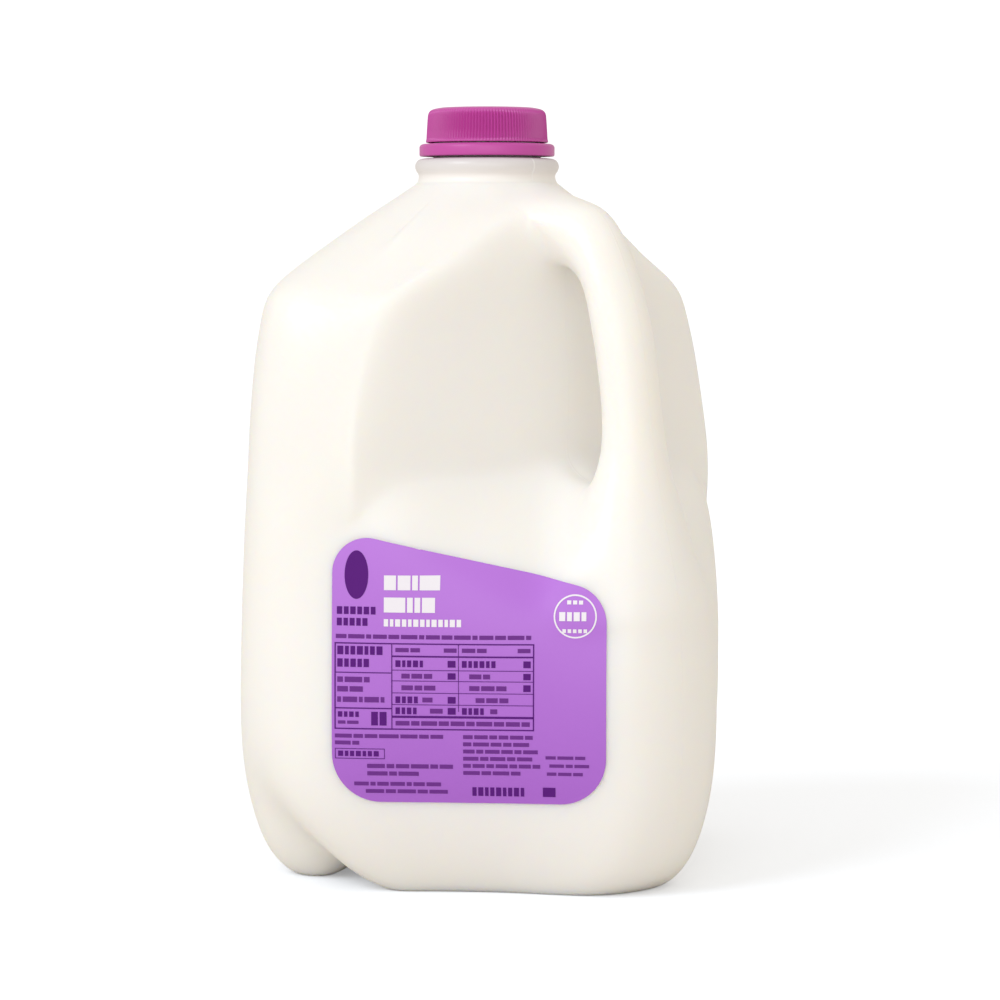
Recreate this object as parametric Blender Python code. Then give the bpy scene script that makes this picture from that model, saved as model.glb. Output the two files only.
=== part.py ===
"""One-gallon plastic milk jug with a corner handle, a ribbed cap and a face label.

The jug stands on z = 0 with its neck on the Z axis. Its four flat faces look along the
diagonals of X and Y, its handle is the +X corner, and the plane y = 0 is its mould seam.
Every length is in metres.
"""
import math

import bmesh
import bpy
from mathutils import Vector

MM = 0.001

# Bottle body: half the width across two faces, and how round its corners are.
BODY_HALF = 76.0 * MM
BODY_CORNER = 35.0 * MM
WALL = 0.6 * MM
# The filled bottle swells a little on its two far faces.
FAR_FACE_BULGE = 2.5 * MM
SMOOTH_LEVEL = 1

# Body stations from the floor up to the shoulder edge: height, half width, corner radius.
BODY_STATIONS = (
    (8.0 * MM, 64.0 * MM, 30.0 * MM),
    (23.0 * MM, 71.6 * MM, 33.0 * MM),
    (43.0 * MM, 76.4 * MM, 35.0 * MM),
    (72.0 * MM, 77.2 * MM, 35.0 * MM),
    (106.0 * MM, 76.3 * MM, 35.0 * MM),
    (119.0 * MM, 75.8 * MM, 35.0 * MM),
    (136.0 * MM, 74.9 * MM, 35.0 * MM),
    (148.0 * MM, 74.4 * MM, 35.0 * MM),
    (169.0 * MM, 72.9 * MM, 35.0 * MM),
    (184.0 * MM, 70.7 * MM, 35.0 * MM),
    (191.0 * MM, 68.6 * MM, 34.5 * MM),
)
# The shoulder from its edge to the neck.
SHOULDER_STATIONS = (
    (197.5 * MM, 63.6 * MM, 34.0 * MM),
    (208.5 * MM, 50.0 * MM, 32.0 * MM),
    (219.8 * MM, 35.0 * MM, 27.5 * MM),
)

# Underside: a sunk middle, and a foot rim that is pressed flat on the floor.
BASE_RISE = 8.0 * MM
BASE_RINGS = (
    (BASE_RISE, 15.0 * MM, 13.0 * MM),
    (0.8 * BASE_RISE, 36.0 * MM, 24.0 * MM),
    (-0.6 * MM, 47.5 * MM, 27.0 * MM),
    (-0.6 * MM, 56.0 * MM, 29.0 * MM),
)
# The lower edge is fuller at the handle corner and at the far foot: by column, then by row.
FULLER_COLUMNS = {0: 6.5, 1: 6.5, 2: 4.5, 3: 1.5, 10: 2.5, 11: 6.5, 12: 7.5, 13: 6.5, 14: 5.0}
FULLER_ROWS = (0.0, 0.2, 0.5, 0.85, 1.0, 0.6, 0.2)
# Between them the base lifts in a notch: rise and inward depth of columns 7 to 12, row by row.
NOTCH_FIRST_COLUMN = 7
NOTCH_RISES = (
    (0.0, 0.0, 0.5, 0.5, 0.0, 0.0),
    (0.0, 1.0, 3.0, 0.5, 0.0, 0.0),
    (0.0, 4.0, 9.0, 1.5, 0.0, 0.0),
    (0.0, 5.0, 11.0, 2.5, 0.0, 0.0),
    (0.0, 4.5, 10.0, 5.0, 0.0, 0.0),
    (0.0, 1.5, 4.5, 4.0, 0.0, 0.0),
    (0.0, 0.0, 1.0, 1.0, 0.0, 0.0),
)
NOTCH_DEPTHS = (
    (0.0, 0.0, 0.0, 0.0, 0.0, 0.0),
    (0.0, 0.0, 0.5, 0.5, 0.0, 0.0),
    (0.0, 0.5, 1.5, 1.5, 0.0, 0.0),
    (0.0, 0.5, 2.0, 3.0, 0.0, 0.0),
    (0.0, 0.5, 2.5, 4.5, 0.5, 0.0),
    (0.0, 0.3, 2.0, 4.0, 0.5, 0.0),
    (0.0, 0.0, 0.8, 1.2, 0.0, 0.0),
)

# Columns of the half cage, counted from the handle corner round to the far corner.
HANDLE_COLUMNS = 4
LAST_COLUMN = 14
RIDGE_COLUMN = 7
SIDE_CORNER_COLUMN = 9
FAR_FACE_COLUMN = 12
LABEL_FACE_STEPS = (1.0, 0.58, 0.17, -0.24, -0.58, -0.92)
FAR_FACE_STEPS = (0.92, 0.0, -0.92)
CORNER_STEP = 22.5
NEAR_CORNER_STEP = 25.0
FIRST_HANDLE_ROW = 6
LAST_HANDLE_ROW = 10

# Finger pocket beside the handle: a nearly flat floor, given at the seam and by column, over a ledge.
FLOOR_AT_SEAM = 41.0 * MM
FLOOR_LEAN = 0.03
FLOOR_BOTTOM = 137.0 * MM
FLOOR_COLUMNS = ((40.8 * MM, -9.0 * MM), (37.0 * MM, -36.0 * MM), (29.6 * MM, -65.5 * MM))
FLOOR_TOP_RAISE = (10.5 * MM, 10.0 * MM, 5.0 * MM, 1.0 * MM)
# The ledge under the pocket starts at these heights, and comes back this share of the way.
LEDGE_FOOT = (97.0 * MM, 96.0 * MM, 95.0 * MM, 98.0 * MM, 103.0 * MM, 108.0 * MM, 114.0 * MM, 118.0 * MM)
LEDGE_STEP = 9.0 * MM
LEDGE_BACK = 0.72
FACE_SINK = 1.3 * MM
FACE_SINK_COLUMN = 2
# The ridge between the pocket and the corner lies a little below the face.
RIDGE_ALONG_FACE = -37.0 * MM
RIDGE_DROP_LOW = 2.4 * MM
RIDGE_DROP_HIGH = 5.8 * MM
RIDGE_START = (0.3, 1.0, 1.2)
RIDGE_SHIFTS = (0.0, 0.0, 3.0 * MM, 7.0 * MM, 10.5 * MM)
BESIDE_RIDGE = 0.7
RIDGE_CLOSER = 0.4
FLOOR_SLANT = 0.25
SHOULDER_HEIGHT = 191.0 * MM
# The shoulder sinks a little beside the ridge.
SINK = 3.2 * MM
SINK_ROWS = (0.4, 1.0, 0.8, 0.3)
SINK_INWARD = 0.7
SINK_AT_CORNER = 0.6

# Handle tube, row by row: centre x and z, lean of the section, half depth, half width.
HANDLE_SECTIONS = (
    (71.5 * MM, 126.0 * MM, -12.0, 15.0 * MM, 17.0 * MM),
    (72.0 * MM, 144.0 * MM, -2.0, 8.9 * MM, 11.0 * MM),
    (68.3 * MM, 171.0 * MM, 8.0, 8.7 * MM, 10.6 * MM),
    (64.0 * MM, 187.0 * MM, 18.0, 8.7 * MM, 10.4 * MM),
    (57.5 * MM, 202.0 * MM, 42.0, 8.9 * MM, 10.4 * MM),
)
HANDLE_ANGLES = (0.0, 48.0, 92.0, 140.0)

# Where the handle runs into the shoulder: rows of points for columns 0 to 4.
ROOT_POINTS = (
    ((54.5, 0, 218.6), (53.0, -7.0, 217.4), (48.5, -11.0, 213.0), (43.0, -13.0, 212.0), (37.0, -17.0, 215.5)),
    ((43.5, 0, 222.3), (42.0, -7.5, 221.3), (39.0, -12.5, 219.0), (35.0, -15.5, 218.6), (31.5, -19.0, 218.6)),
    ((32.5, 0, 225.4), (31.0, -7.0, 224.8), (29.0, -12.0, 223.4), (27.0, -15.5, 222.8), (24.5, -18.5, 222.8)),
)
# The pocket's upper edge and the shoulder above it: points for columns 5 to 7.
SHOULDER_EDGE_POINTS = (
    ((32.2, -33.6, 208.8), (26.9, -48.8, 201.5), (21.9, -60.1, 195.7)),
    ((27.5, -29.5, 215.5), (21.0, -41.8, 211.4), (13.5, -51.2, 209.6)),
    ((21.5, -23.5, 221.0), (15.5, -29.5, 221.0), (9.0, -34.0, 220.0)),
)

# Neck finish above the shoulder: radius and height of each turn.
NECK_ROOT = (23.4 * MM, 228.0 * MM)
NECK_PROFILE = (
    (22.7 * MM, 230.4 * MM),
    (23.6 * MM, 231.9 * MM),
    (23.9 * MM, 233.8 * MM),
    (23.3 * MM, 235.4 * MM),
    (20.4 * MM, 236.1 * MM),
    (17.6 * MM, 236.3 * MM),
    (17.6 * MM, 250.0 * MM),
)

# Milk, filled to just above the shoulder.
MILK_GAP = 5.0 * MM
MILK_LEVEL = 227.0 * MM

# Ribbed cap with its tamper band below it.
CAP_BOTTOM = 241.3 * MM
CAP_TOP = 252.8 * MM
CAP_SKIRT_RADIUS = 20.2 * MM
CAP_RIM_RADIUS = 19.6 * MM
CAP_RIM_DROP = 1.9 * MM
CAP_CROWN_RADIUS = 16.0 * MM
CAP_BORE = 18.2 * MM
CAP_ROOF = 2.0 * MM
RIB_COUNT = 120
RIB_DEPTH = 0.45 * MM
BAND_BOTTOM = 236.8 * MM
BAND_TOP = 240.9 * MM
BAND_RADIUS = 22.5 * MM
BAND_BORE = 18.2 * MM
TURN_STEPS = 48

# Label on the face between the handle corner and the -Y corner.
# Its corners before rounding: distance along the face, height, and rounding radius.
LABEL_CORNERS = (
    (-43.2 * MM, 31.9 * MM, 15.5 * MM),
    (43.4 * MM, 31.9 * MM, 14.5 * MM),
    (43.4 * MM, 98.6 * MM, 12.0 * MM),
    (-43.2 * MM, 118.3 * MM, 11.0 * MM),
)
LABEL_GAP = 0.45 * MM
LABEL_THICKNESS = 0.3 * MM
LABEL_PRISM_REACH = (55.0 * MM, 90.0 * MM)
LABEL_HIGHEST = 140.0 * MM
ARC_POINTS = 5

FACE_NORMAL = Vector((math.sqrt(0.5), -math.sqrt(0.5), 0.0))
FACE_ALONG = Vector((math.sqrt(0.5), math.sqrt(0.5), 0.0))


def clear_scene():
    for item in list(bpy.data.objects):
        bpy.data.objects.remove(item, do_unlink=True)


def plain_material(name, colour, roughness):
    material = bpy.data.materials.new(name)
    material.use_nodes = True
    shader = material.node_tree.nodes["Principled BSDF"]
    shader.inputs["Base Color"].default_value = (*colour, 1.0)
    shader.inputs["Roughness"].default_value = roughness
    shader.inputs["Metallic"].default_value = 0.0
    material.diffuse_color = (*colour, 1.0)
    return material


def bottle_plastic():
    return plain_material("bottle_plastic", (0.86, 0.84, 0.80), 0.38)


def milk_liquid():
    return plain_material("milk_liquid", (0.93, 0.91, 0.86), 0.30)


def cap_plastic():
    return plain_material("cap_plastic", (0.49, 0.07, 0.32), 0.42)


def label_paper():
    return plain_material("label_paper", (0.43, 0.15, 0.66), 0.45)


def section_point(half, corner, column):
    """Point of the rounded square in one column, on the side of the seam with y below zero."""
    straight = half - corner
    if column <= 1:
        turn = math.radians(-NEAR_CORNER_STEP * column)
        return Vector((straight * math.sqrt(2.0) + corner * math.cos(turn), corner * math.sin(turn), 0.0))
    if column <= RIDGE_COLUMN:
        along = straight * LABEL_FACE_STEPS[column - 2]
        return FACE_NORMAL * half + FACE_ALONG * along
    if column <= SIDE_CORNER_COLUMN + 1:
        turn = math.radians(-90.0 - CORNER_STEP * (column - SIDE_CORNER_COLUMN))
        return Vector((corner * math.cos(turn), corner * math.sin(turn) - straight * math.sqrt(2.0), 0.0))
    if column < LAST_COLUMN:
        along = straight * FAR_FACE_STEPS[column - SIDE_CORNER_COLUMN - 2]
        return -FACE_ALONG * half + FACE_NORMAL * along
    return Vector((-straight * math.sqrt(2.0) - corner, 0.0, 0.0))


def plain_row(height, half, corner):
    row = []
    for column in range(LAST_COLUMN + 1):
        point = section_point(half, corner, column)
        point.z = height
        row.append(point)
    return row


def shape_foot(rows):
    """Fill out the lower edge and lift the notch, on the rows from the base's middle up."""
    for row, share, rises, depths in zip(rows, FULLER_ROWS, NOTCH_RISES, NOTCH_DEPTHS):
        outward = [Vector((point.x, point.y, 0.0)).normalized() for point in row]
        for column, fuller in FULLER_COLUMNS.items():
            row[column] += outward[column] * (fuller * share * MM)
        for column, (rise, depth) in enumerate(zip(rises, depths), NOTCH_FIRST_COLUMN):
            row[column] -= outward[column] * (depth * MM)
            row[column].z += rise * MM


def floor_point(x, y, height):
    return Vector((x - FLOOR_LEAN * (height - FLOOR_BOTTOM), y, height))


def ridge_drop(height):
    """The ridge beside the pocket sinks further below the face towards the shoulder."""
    share = (height - FLOOR_BOTTOM) / (SHOULDER_HEIGHT - FLOOR_BOTTOM)
    return RIDGE_DROP_LOW + (RIDGE_DROP_HIGH - RIDGE_DROP_LOW) * share


def handle_ring(section):
    """Section of the handle tube: the columns' points, then the point on the seam inside."""
    centre_x, centre_z, lean, depth, width = section
    out = Vector((math.cos(math.radians(lean)), 0.0, math.sin(math.radians(lean))))
    centre = Vector((centre_x, 0.0, centre_z))
    ring = []
    for angle in (*HANDLE_ANGLES, 180.0):
        turn = math.radians(angle)
        ring.append(centre + out * depth * math.cos(turn) - Vector((0.0, width * math.sin(turn), 0.0)))
    return ring


def shape_pocket(rows):
    """Set the rows beside the handle, and give the seam points on the two sides of the hole."""
    hole_outer = []
    hole_inner = []
    for row, section, shift in zip(rows, HANDLE_SECTIONS, RIDGE_SHIFTS):
        ring = handle_ring(section)
        row[:HANDLE_COLUMNS] = ring[:HANDLE_COLUMNS]
        hole_outer.append(ring[-1])
        height = row[-1].z
        for column, place in enumerate(FLOOR_COLUMNS, HANDLE_COLUMNS):
            row[column] = floor_point(*place, height)
        row[RIDGE_COLUMN - 1] += Vector((FLOOR_SLANT * shift, shift, 0.0))
        half = FACE_NORMAL.dot(row[RIDGE_COLUMN]) - ridge_drop(height)
        along = RIDGE_ALONG_FACE + shift
        row[RIDGE_COLUMN] = FACE_NORMAL * half + FACE_ALONG * along + Vector((0.0, 0.0, height))
        row[RIDGE_COLUMN + 1] -= FACE_NORMAL * (BESIDE_RIDGE * ridge_drop(height))
        row[RIDGE_COLUMN + 1] = row[RIDGE_COLUMN + 1].lerp(row[RIDGE_COLUMN], RIDGE_CLOSER)
        hole_inner.append(floor_point(FLOOR_AT_SEAM, 0.0, height))
    for column, raised in enumerate(FLOOR_TOP_RAISE, HANDLE_COLUMNS):
        rows[-1][column].z += raised
    hole_inner[-1].z += FLOOR_TOP_RAISE[0]
    return hole_outer, hole_inner


def shape_ledge(rows):
    """Set the two rows of the ledge under the pocket; the third given row is the pocket's first."""
    face, ledge, floor = rows
    for column, height in enumerate(LEDGE_FOOT):
        face[column].z = height if HANDLE_COLUMNS <= column < RIDGE_COLUMN else height - LEDGE_STEP
        ledge[column].z = height
    for column in range(FACE_SINK_COLUMN, RIDGE_COLUMN):
        face[column] -= FACE_NORMAL * FACE_SINK
        ledge[column] -= FACE_NORMAL * FACE_SINK
    for column in range(HANDLE_COLUMNS, RIDGE_COLUMN):
        ledge[column] = face[column].lerp(floor[column], LEDGE_BACK)


def shape_shoulder(rows):
    """Set the handle's root and the pocket's upper edge, and let the shoulder sink beside it."""
    for row, root, edge in zip(rows[1:], ROOT_POINTS, SHOULDER_EDGE_POINTS):
        for column, point in enumerate(root + edge):
            row[column] = Vector(point) * MM
    for row, share in zip(rows, SINK_ROWS):
        row[RIDGE_COLUMN + 1] -= Vector((0.0, 0.0, SINK)) * share + FACE_NORMAL * (SINK * share * SINK_INWARD)
        row[RIDGE_COLUMN + 2].z -= SINK * share * SINK_AT_CORNER


def skin_rows():
    """Rows from the base's middle to the neck root, and the seam points beside the hole."""
    base = [plain_row(*ring) for ring in BASE_RINGS]
    rows = [plain_row(*station) for station in (*BODY_STATIONS, *SHOULDER_STATIONS)]
    shape_foot(base + rows)
    hole_outer, hole_inner = shape_pocket(rows[FIRST_HANDLE_ROW:LAST_HANDLE_ROW + 1])
    shape_ledge(rows[FIRST_HANDLE_ROW - 2:FIRST_HANDLE_ROW + 1])
    for row, share in zip(rows[FIRST_HANDLE_ROW - len(RIDGE_START):FIRST_HANDLE_ROW], RIDGE_START):
        row[RIDGE_COLUMN] -= FACE_NORMAL * (RIDGE_DROP_LOW * share)
        row[RIDGE_COLUMN + 1] -= FACE_NORMAL * (RIDGE_DROP_LOW * share * BESIDE_RIDGE)
    shape_shoulder(rows[LAST_HANDLE_ROW:])
    for row in rows:
        share = math.sin(math.pi * min(row[-1].z / SHOULDER_HEIGHT, 1.0))
        row[FAR_FACE_COLUMN] -= FACE_ALONG * (FAR_FACE_BULGE * share)
    return [*base, *rows, neck_root_row()], hole_outer, hole_inner


def neck_root_row():
    row = []
    for column in range(LAST_COLUMN + 1):
        place = section_point(BODY_HALF, BODY_CORNER, column)
        turn = math.atan2(place.y, place.x)
        radius, height = NECK_ROOT
        row.append(Vector((radius * math.cos(turn), radius * math.sin(turn), height)))
    return row


def half_cage():
    """Quads over the half with y below zero, with the handle's hole left open to the seam."""
    shell = bmesh.new()
    places, hole_outer, hole_inner = skin_rows()
    rows = [[shell.verts.new(point) for point in row] for row in places]
    first = len(BASE_RINGS) + FIRST_HANDLE_ROW
    last = len(BASE_RINGS) + LAST_HANDLE_ROW
    for index, (row, above) in enumerate(zip(rows, rows[1:])):
        for column in range(LAST_COLUMN):
            if column == HANDLE_COLUMNS - 1 and first <= index < last:
                continue
            shell.faces.new((row[column + 1], row[column], above[column], above[column + 1]))
    outer = [shell.verts.new(point) for point in hole_outer]
    inner = [shell.verts.new(point) for point in hole_inner]
    for step in range(len(outer) - 1):
        low = rows[first + step]
        high = rows[first + step + 1]
        shell.faces.new((low[3], high[3], outer[step + 1], outer[step])[::-1])
        shell.faces.new((low[4], high[4], inner[step + 1], inner[step]))
    shell.faces.new((rows[first][4], rows[first][3], outer[0], inner[0])[::-1])
    shell.faces.new((rows[last][3], rows[last][4], inner[-1], outer[-1])[::-1])
    middle = shell.verts.new((0.0, 0.0, BASE_RISE))
    for column in range(LAST_COLUMN):
        shell.faces.new((rows[0][column], rows[0][column + 1], middle))
    return shell


def whole_cage():
    shell = half_cage()
    everything = shell.verts[:] + shell.edges[:] + shell.faces[:]
    bmesh.ops.mirror(shell, geom=everything, axis="Y", merge_dist=0.1 * MM)
    bmesh.ops.remove_doubles(shell, verts=shell.verts[:], dist=0.1 * MM)
    bmesh.ops.recalc_face_normals(shell, faces=shell.faces[:])
    return shell


def limit_point(vert):
    """Where a Catmull-Clark surface puts a cage point."""
    if vert.is_boundary:
        ends = [edge.other_vert(vert).co for edge in vert.link_edges if edge.is_boundary]
        return (ends[0] + ends[1] + vert.co * 4.0) / 6.0
    count = len(vert.link_edges)
    near = Vector((0.0, 0.0, 0.0))
    across = Vector((0.0, 0.0, 0.0))
    beside = set()
    for edge in vert.link_edges:
        near += edge.other_vert(vert).co
        beside.add(edge.other_vert(vert))
    for face in vert.link_faces:
        for corner in face.verts:
            if corner is not vert and corner not in beside:
                across += corner.co
    return (vert.co * count * count + near * 4.0 + across) / (count * (count + 5.0))


def pass_through_stations(shell):
    """Move the cage so that the smooth surface runs close to the points it was built on."""
    fitted = [vert for vert in shell.verts if all(len(face.verts) == 4 for face in vert.link_faces)]
    errors = [(vert, vert.co - limit_point(vert)) for vert in fitted]
    for vert, error in errors:
        vert.co += error


def smooth_skin(level):
    """The bottle's outer skin from the base up to the neck root, open at the top."""
    shell = whole_cage()
    pass_through_stations(shell)
    mesh = bpy.data.meshes.new("skin_cage")
    shell.to_mesh(mesh)
    shell.free()
    cage = bpy.data.objects.new("skin_cage", mesh)
    bpy.context.scene.collection.objects.link(cage)
    smooth = cage.modifiers.new("smooth", "SUBSURF")
    smooth.levels = level
    smooth.render_levels = level
    view = bpy.context.evaluated_depsgraph_get()
    skin = bmesh.new()
    skin.from_mesh(cage.evaluated_get(view).to_mesh())
    bpy.data.objects.remove(cage, do_unlink=True)
    for vert in skin.verts:
        vert.co.z = max(vert.co.z, 0.0)
    bmesh.ops.triangulate(skin, faces=skin.faces[:])
    return skin


def turn_neck(skin):
    """Carry the open top of the skin up through the neck's profile."""
    rim = [edge for edge in skin.edges if edge.is_boundary]
    for vert in {vert for edge in rim for vert in edge.verts}:
        turn = math.atan2(vert.co.y, vert.co.x)
        vert.co = Vector((NECK_ROOT[0] * math.cos(turn), NECK_ROOT[0] * math.sin(turn), NECK_ROOT[1]))
    for radius, height in NECK_PROFILE:
        grown = bmesh.ops.extrude_edge_only(skin, edges=rim)["geom"]
        rim = [item for item in grown if isinstance(item, bmesh.types.BMEdge)]
        rim = [edge for edge in rim if edge.is_boundary]
        for vert in {vert for edge in rim for vert in edge.verts}:
            turn = math.atan2(vert.co.y, vert.co.x)
            vert.co = Vector((radius * math.cos(turn), radius * math.sin(turn), height))
    bmesh.ops.recalc_face_normals(skin, faces=skin.faces[:])


def add_object(name, mesh_builder, material):
    mesh = bpy.data.meshes.new(name)
    mesh_builder.to_mesh(mesh)
    mesh_builder.free()
    mesh.shade_smooth()
    mesh.set_sharp_from_angle(angle=math.radians(35.0))
    thing = bpy.data.objects.new(name, mesh)
    mesh.materials.append(material)
    bpy.context.scene.collection.objects.link(thing)
    return thing


def make_bottle():
    skin = smooth_skin(SMOOTH_LEVEL)
    turn_neck(skin)
    bottle = add_object("bottle", skin, bottle_plastic())
    wall = bottle.modifiers.new("wall", "SOLIDIFY")
    wall.thickness = WALL
    wall.offset = -1.0
    wall.use_even_offset = True
    return bottle


def make_milk():
    """The filling, a coarser copy of the skin that keeps clear of the wall."""
    filling = whole_cage()
    filling.normal_update()
    for vert in filling.verts:
        vert.co.z = max(vert.co.z, 0.0)
        vert.co -= vert.normal * (WALL + MILK_GAP)
    bmesh.ops.bisect_plane(
        filling,
        geom=filling.verts[:] + filling.edges[:] + filling.faces[:],
        plane_co=(0.0, 0.0, MILK_LEVEL),
        plane_no=(0.0, 0.0, 1.0),
        clear_outer=True,
    )
    rim = [edge for edge in filling.edges if edge.is_boundary]
    bmesh.ops.contextual_create(filling, geom=rim)
    bmesh.ops.recalc_face_normals(filling, faces=filling.faces[:])
    return add_object("milk", filling, milk_liquid())


def ring_of_points(builder, radius, height, steps, ripple=0.0):
    """A ring whose radius dips at every other point, so that it reads as ribs."""
    ring = []
    for step in range(steps):
        turn = math.tau * step / steps
        reach = radius - ripple * (step % 2)
        ring.append(builder.verts.new((reach * math.cos(turn), reach * math.sin(turn), height)))
    return ring


def ring_stretch(ring, start, span):
    return [ring[(start * span + step) % len(ring)] for step in range(span + 1)]


def join_rings(builder, low, high):
    """Faces between two rings, one of which may have several points to each of the other's."""
    steps = min(len(low), len(high))
    for step in range(steps):
        below = ring_stretch(low, step, len(low) // steps)
        above = ring_stretch(high, step, len(high) // steps)
        builder.faces.new((*below, *reversed(above)))


def turned_solid(rings):
    """A solid from rings that run up its outer side, closed by flat ends."""
    builder = bmesh.new()
    made = [ring_of_points(builder, *ring) for ring in rings]
    for low, high in zip(made, made[1:]):
        join_rings(builder, low, high)
    builder.faces.new(made[0][::-1])
    builder.faces.new(made[-1])
    return builder


def hide_cutter(cutter):
    cutter.hide_render = True
    cutter.display_type = "WIRE"


def make_cap():
    steps = RIB_COUNT * 2
    rings = (
        (CAP_SKIRT_RADIUS, CAP_BOTTOM, steps, RIB_DEPTH),
        (CAP_RIM_RADIUS, CAP_TOP - CAP_RIM_DROP, steps, RIB_DEPTH),
        (CAP_RIM_RADIUS - 1.0 * MM, CAP_TOP - 0.6 * MM, TURN_STEPS),
        (CAP_CROWN_RADIUS, CAP_TOP, TURN_STEPS),
    )
    cap = add_object("cap", turned_solid(rings), cap_plastic())
    bore_rings = (
        (CAP_BORE, CAP_BOTTOM - 5.0 * MM, TURN_STEPS),
        (CAP_BORE, CAP_TOP - CAP_ROOF, TURN_STEPS),
    )
    bore = add_object("cap_bore", turned_solid(bore_rings), cap_plastic())
    hide_cutter(bore)
    hollow = cap.modifiers.new("hollow", "BOOLEAN")
    hollow.operation = "DIFFERENCE"
    hollow.object = bore
    return cap


def make_tamper_band():
    builder = bmesh.new()
    profile = (
        (BAND_BORE, BAND_BOTTOM),
        (BAND_RADIUS - 0.5 * MM, BAND_BOTTOM),
        (BAND_RADIUS, BAND_BOTTOM + 0.5 * MM),
        (BAND_RADIUS, BAND_TOP - 0.9 * MM),
        (BAND_RADIUS - 0.5 * MM, BAND_TOP - 0.2 * MM),
        (CAP_SKIRT_RADIUS, BAND_TOP),
        (BAND_BORE, BAND_TOP),
    )
    rings = [ring_of_points(builder, radius, height, TURN_STEPS) for radius, height in profile]
    for low, high in zip(rings, rings[1:] + rings[:1]):
        join_rings(builder, low, high)
    bmesh.ops.recalc_face_normals(builder, faces=builder.faces[:])
    return add_object("tamper_band", builder, cap_plastic())


def label_outline():
    """Rounded outline of the label, as distance along the face and height."""
    corners = [Vector(corner[:2]) for corner in LABEL_CORNERS]
    outline = []
    for index, here in enumerate(corners):
        radius = LABEL_CORNERS[index][2]
        back = (corners[index - 1] - here).normalized()
        onward = (corners[(index + 1) % len(corners)] - here).normalized()
        half_angle = back.angle(onward) / 2.0
        inset = radius / math.tan(half_angle)
        centre = here + (back + onward).normalized() * radius / math.sin(half_angle)
        start = (here + back * inset - centre).normalized()
        end = (here + onward * inset - centre).normalized()
        for step in range(ARC_POINTS + 1):
            share = step / ARC_POINTS
            outline.append(centre + start.slerp(end, share) * radius)
    return outline


def label_prism():
    """A block with the label's outline that reaches through the label's face."""
    builder = bmesh.new()
    outline = label_outline()
    rings = []
    for depth in LABEL_PRISM_REACH:
        ring = [FACE_ALONG * place.x + FACE_NORMAL * depth + Vector((0.0, 0.0, place.y)) for place in outline]
        rings.append([builder.verts.new(point) for point in ring])
    join_rings(builder, *rings)
    builder.faces.new(rings[0][::-1])
    builder.faces.new(rings[1])
    return builder


def make_label():
    """A thin layer that lies on the bottle's skin, cut to the label's outline."""
    layer = smooth_skin(SMOOTH_LEVEL)
    layer.normal_update()
    for vert in layer.verts:
        vert.co += vert.normal * LABEL_GAP
    behind = {vert for vert in layer.verts if vert.co.dot(FACE_NORMAL) < LABEL_PRISM_REACH[0]}
    above = {vert for vert in layer.verts if vert.co.z > LABEL_HIGHEST}
    bmesh.ops.delete(layer, geom=list(behind | above), context="VERTS")
    label = add_object("label", layer, label_paper())
    skin = label.modifiers.new("thickness", "SOLIDIFY")
    skin.thickness = LABEL_THICKNESS
    skin.offset = 1.0
    outline = add_object("label_outline", label_prism(), label_paper())
    hide_cutter(outline)
    trim = label.modifiers.new("trim", "BOOLEAN")
    trim.operation = "INTERSECT"
    trim.object = outline
    return label


def main():
    clear_scene()
    make_bottle()
    make_milk()
    make_cap()
    make_tamper_band()
    make_label()


main()
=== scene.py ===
"""Looks of the one-gallon milk jug: skin, filling, ribbed cap, tamper band and printed label."""
import math

import bmesh
import bpy
from mathutils import Euler, Matrix, Vector
from mathutils.bvhtree import BVHTree


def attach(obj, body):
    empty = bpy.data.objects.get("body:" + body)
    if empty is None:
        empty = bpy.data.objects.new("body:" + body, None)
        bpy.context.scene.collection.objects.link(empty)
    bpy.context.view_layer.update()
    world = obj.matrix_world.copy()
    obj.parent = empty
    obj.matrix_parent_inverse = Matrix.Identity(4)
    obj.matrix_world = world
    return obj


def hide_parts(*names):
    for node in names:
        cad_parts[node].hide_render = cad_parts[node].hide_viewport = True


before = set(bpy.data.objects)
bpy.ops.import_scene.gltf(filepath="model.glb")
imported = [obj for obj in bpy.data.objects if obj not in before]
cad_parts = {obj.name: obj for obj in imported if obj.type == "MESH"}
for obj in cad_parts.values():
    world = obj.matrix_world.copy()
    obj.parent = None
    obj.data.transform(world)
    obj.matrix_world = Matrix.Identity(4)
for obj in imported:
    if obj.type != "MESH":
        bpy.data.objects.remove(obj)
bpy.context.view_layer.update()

MM = 0.001
# The faces of the square jug look along the diagonals of x and y.
DIAGONAL = math.sqrt(0.5)
FACE_NORMAL = Vector((DIAGONAL, -DIAGONAL, 0.0))
FACE_ALONG = Vector((DIAGONAL, DIAGONAL, 0.0))

# Bottle body, as in the CAD: height, half width and corner radius of each station.
BODY_STATIONS = (
    (8.0 * MM, 64.0 * MM, 30.0 * MM),
    (23.0 * MM, 71.6 * MM, 33.0 * MM),
    (43.0 * MM, 76.4 * MM, 35.0 * MM),
    (72.0 * MM, 77.2 * MM, 35.0 * MM),
    (106.0 * MM, 76.3 * MM, 35.0 * MM),
    (119.0 * MM, 75.8 * MM, 35.0 * MM),
    (136.0 * MM, 74.9 * MM, 35.0 * MM),
    (148.0 * MM, 74.4 * MM, 35.0 * MM),
    (169.0 * MM, 72.9 * MM, 35.0 * MM),
    (184.0 * MM, 70.7 * MM, 35.0 * MM),
    (191.0 * MM, 68.6 * MM, 34.5 * MM),
)
SHOULDER_STATIONS = (
    (197.5 * MM, 63.6 * MM, 34.0 * MM),
    (208.5 * MM, 50.0 * MM, 32.0 * MM),
    (219.8 * MM, 35.0 * MM, 27.5 * MM),
)
BASE_RISE = 8.0 * MM
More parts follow.
